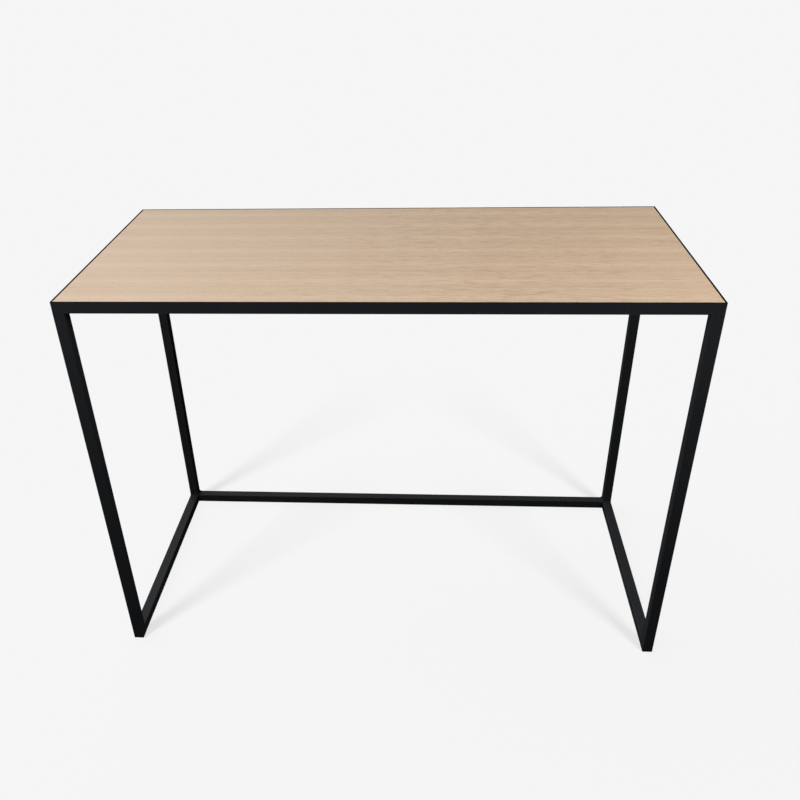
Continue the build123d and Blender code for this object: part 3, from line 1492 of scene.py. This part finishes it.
STEEL = ("top_rail_", "leg_", "floor_rail_", "weld_")
UNDERSIDE = ("desktop_", "edge_band_", "panel_screws", "top_rail_")


@dataclass
class Studio:
    """A seamless pale floor, soft light and the camera."""

    pieces: list[Object]
    paper: str = "#f6f6f6"
    paper_shade: str = "#5c5c5c"  # how strongly the paper takes the lights' shadows
    floor_half: float = 60.0
    tooth_width: float = mm(2)  # the tooth of real paper is finer, drawn coarser
    tooth_height: float = mm(0.02)
    paper_glow: float = 0.656  # the share of the floor's lightness that shadows don't touch
    camera_place: Vector = field(default_factory=lambda: Vector((0.0820, -1.4542, 1.2774)))
    camera_pitch: float = 32.11  # looking down, in degrees
    camera_yaw: float = 4.36  # towards -X, in degrees
    camera_roll: float = -1.66
    camera_lens: float = 36.87
    camera_sensor: float = 36.0
    camera_reach: tuple[float, float] = (0.05, 200.0)  # the nearest and the farthest that it sees
    camera_shift: tuple[float, float] = (0.0284, 0.0415)
    suns: tuple[FloorSun, ...] = (
        FloorSun("left", 53.0, strength=5.7),
        FloorSun("right", 122.5, strength=4.9),
    )
    softboxes: tuple[Softbox, ...] = (
        Softbox("softbox_left", (-1.4, -0.8, 1.9), 0.9, 0.9, 19.3),
        Softbox("softbox_right", (1.4, -0.8, 1.9), 0.9, 0.9, 22.2),
        Softbox("strip_front_left", (-0.75, -0.8, 0.9), 0.5, 0.25, 0.8, lit=STEEL),
        Softbox("strip_front_right", (0.75, -0.8, 0.9), 0.5, 0.25, 0.7, lit=STEEL),
        Softbox("bounce_from_floor", (0.0, 0.0, 0.02), 1.6, 0.9, 5.0, lit=UNDERSIDE),
    )
    room_below: float = 0.012
    room_above: float = 0.09
    room_fade: tuple[float, float] = (-0.1, 0.4)  # the heights in the sky where it turns from dark to dim
    glow_way: Vector = field(default_factory=lambda: Vector((-0.75, 0.42, 0.5)))
    glow_level: float = 1.55
    glow_reach: float = 0.45  # the cosine at which the glow has faded out

    def camera(self) -> None:
        """Sets the camera where the desk is seen from a little right of its middle and above."""
        data = bpy.data.cameras.new("camera")
        data.lens = self.camera_lens
        data.sensor_width = self.camera_sensor
        data.shift_x, data.shift_y = self.camera_shift
        data.clip_start, data.clip_end = self.camera_reach
        data.dof.use_dof = False
        camera = bpy.data.objects.new("camera", data)
        yaw, pitch = math.radians(self.camera_yaw), math.radians(self.camera_pitch)
        turn = Matrix.Rotation(yaw, 4, "Z") @ Matrix.Rotation(math.pi / 2 - pitch, 4, "X")
        roll = Matrix.Rotation(math.radians(self.camera_roll), 4, "Z")
        camera.matrix_world = Matrix.Translation(self.camera_place) @ turn @ roll
        bpy.context.scene.collection.objects.link(camera)
        bpy.context.scene.camera = camera

    def group(self, name: str, members: Iterable[Object]) -> Collection:
        """Makes a group of objects for a light to act on.

        Args:
            name: The group's name.
            members: The objects.

        Returns:
            The group.
        """
        made = bpy.data.collections.new(name)
        for member in members:
            made.objects.link(member)
        return made

    def floor(self) -> Object:
        """Lays the seamless paper, which glows evenly enough that shadows on it stay faint.

        Returns:
            The floor.
        """
        draft = Draft()
        corners = (Vector((x, y, 0)) * self.floor_half for x, y in SQUARE)
        draft.faces.append(tuple(draft.ring(corners)))
        mesh = draft.mesh("studio_floor")
        material = bpy.data.materials.new("paper_seamless_matt_white")
        add = node_adder(material)
        place = add("TexCoord", out="Object")
        tooth = add("TexNoise", {"Vector": place, "Scale": 1 / self.tooth_width, "Detail": 2.0})
        relief = add("Bump", {"Height": tooth, "Distance": self.tooth_height})
        matt = add("BsdfDiffuse", {"Color": linear(self.paper_shade), "Normal": relief})
        glow = add("Emission", {"Color": linear(self.paper), "Strength": self.paper_glow})
        add("OutputMaterial", {"Surface": add("AddShader", (matt, glow))})
        mesh.materials.append(material)
        floor = bpy.data.objects.new("studio_floor", mesh)
        bpy.context.scene.collection.objects.link(floor)
        floor.visible_diffuse = False
        floor.visible_glossy = False
        return floor

    def lamp(self, name: str, kind: str, energy: float, way: Vector, lit: Iterable[Object]) -> Object:
        """Makes a lamp that lights only some objects.

        Args:
            name: The lamp's name.
            kind: Its type.
            energy: Its strength, in the unit of its type.
            way: The way that it shines.
            lit: What it lights.

        Returns:
            The lamp.
        """
        lamp = bpy.data.objects.new(name, bpy.data.lights.new(name, kind))
        lamp.data.energy = energy
        lamp.rotation_euler = way.to_track_quat("-Z", "Y").to_euler()
        lamp.light_linking.receiver_collection = self.group(f"lit_by_{name}", lit)
        bpy.context.scene.collection.objects.link(lamp)
        return lamp

    def sun(self, floor: Object, sun: FloorSun) -> None:
        """Hangs one of the floor's lights.

        Args:
            floor: The floor, which is all that it lights.
            sun: The light.
        """
        heading, height = math.radians(sun.heading), math.radians(sun.height)
        x, y = math.cos(heading) * math.cos(height), math.sin(heading) * math.cos(height)
        down = Vector((x, y, -math.sin(height)))
        lamp = self.lamp(f"floor_sun_{sun.side}", "SUN", sun.strength, down, [floor])
        lamp.data.angle = math.radians(sun.softness)
        uprights = [p for p in self.pieces if p.name.startswith("leg_") and sun.side in p.name]
        lamp.light_linking.blocker_collection = self.group(f"shading_{sun.side}_sun", uprights)

    def softbox(self, box: Softbox) -> None:
        """Hangs a soft light, facing the middle of the desktop.

        Args:
            box: The light.
        """
        place = Vector(box.place)
        middle = (CAD_BOX[0] + CAD_BOX[1]) / 2
        way = Vector((middle.x, middle.y, CAD_BOX[1].z)) - place
        lit = [p for p in self.pieces if p.name.startswith(box.lit)]
        lamp = self.lamp(box.name, "AREA", box.power, way, lit)
        lamp.location = place
        lamp.data.shape = "RECTANGLE"
        lamp.data.size, lamp.data.size_y = box.width, box.height
        lamp.visible_camera = False

    def sky(self) -> None:
        """Sets the room's own light: dark below, dim above, and a broad soft glow high at the rear left."""
        world = bpy.data.worlds.new("studio")
        bpy.context.scene.world = world
        add = node_adder(world)
        way = add("TexCoord", out="Generated")
        height = add("SeparateXYZ", (way,), "Z")
        start, end = self.room_fade
        stretch = {"From Min": start, "From Max": end, "To Min": self.room_below, "To Max": self.room_above}
        dim = add("MapRange", {"Value": height, **stretch}, interpolation_type="SMOOTHSTEP")
        towards = add("VectorMath", (way, self.glow_way.normalized()), "Value", operation="DOT_PRODUCT")
        stretch = {"From Min": self.glow_reach, "From Max": 1.0, "To Max": self.glow_level}
        lobe = add("MapRange", {"Value": towards, **stretch})
        level = add("Math", (dim, lobe), operation="ADD")
        room = add("Background", {"Color": (1.0, 1.0, 1.0, 1.0), "Strength": level})
        seen = add("Background", {"Color": linear(self.paper), "Strength": 1.0})
        camera_ray = add("LightPath", out="Is Camera Ray")
        add("OutputWorld", {"Surface": add("MixShader", (camera_ray, room, seen))})

    def build(self) -> None:
        """Sets up the floor, the lights and the camera."""
        floor = self.floor()
        for sun in self.suns:
            self.sun(floor, sun)
        for box in self.softboxes:
            self.softbox(box)
        self.sky()
        self.camera()
        bpy.context.scene.view_settings.view_transform = "Standard"


# ---------------------------------------------------------------------------------------------------------
# Everything together
# ---------------------------------------------------------------------------------------------------------


def steel_pieces(material: Material, top: TopFrame) -> list[Object]:
    """Makes every steel piece of the frame.

    Args:
        material: The powder coat.
        top: The top frame.

    Returns:
        The pieces.
    """
    pieces = top.build()
    for end, end_sign in ENDS.items():
        for side, side_sign in SIDES.items():
            leg = f"leg_{end}_{side}"
            pieces.append(SteelTube(leg, Run.HEIGHT, material).build())
            pieces.append(EndPlate(f"leg_end_plate_{end}_{side}", material).build())
            turn = -math.pi / 2 * end_sign
            grooves = (-1, 1) if end == "front" else (side_sign,)
            pieces.append(RailWeld(f"weld_side_rail_{end}_{side}", leg, turn, material, grooves).build())
    for side, side_sign in SIDES.items():
        pieces.append(SteelTube(f"floor_rail_{side}", Run.DEPTH, material).build())
        turn = math.pi / 2 * (1 + side_sign)
        pieces.append(RailWeld(f"weld_rear_rail_{side}", f"leg_rear_{side}", turn, material).build())
    pieces.append(SteelTube("floor_rail_rear", Run.WIDTH, material).build())
    return pieces


def main() -> None:
    """Builds the desk's pieces, then the studio round them."""
    logging.basicConfig(level=logging.INFO, format="%(message)s")
    finishes = Finishes()
    top = TopFrame(finishes.steel)
    pieces = steel_pieces(finishes.steel, top)
    pieces += Board(finishes).build()
    pieces.append(PanelScrews(top, finishes.zinc).build())
    for end in ENDS:
        for side in SIDES:
            pieces.append(FloorPad(f"floor_pad_{end}_{side}", finishes.rubber).build())
    for piece in pieces:
        log.info("%s: %d vertices", piece.name, len(piece.data.vertices))
    Studio(pieces).build()


if __name__ == "__main__":
    main()
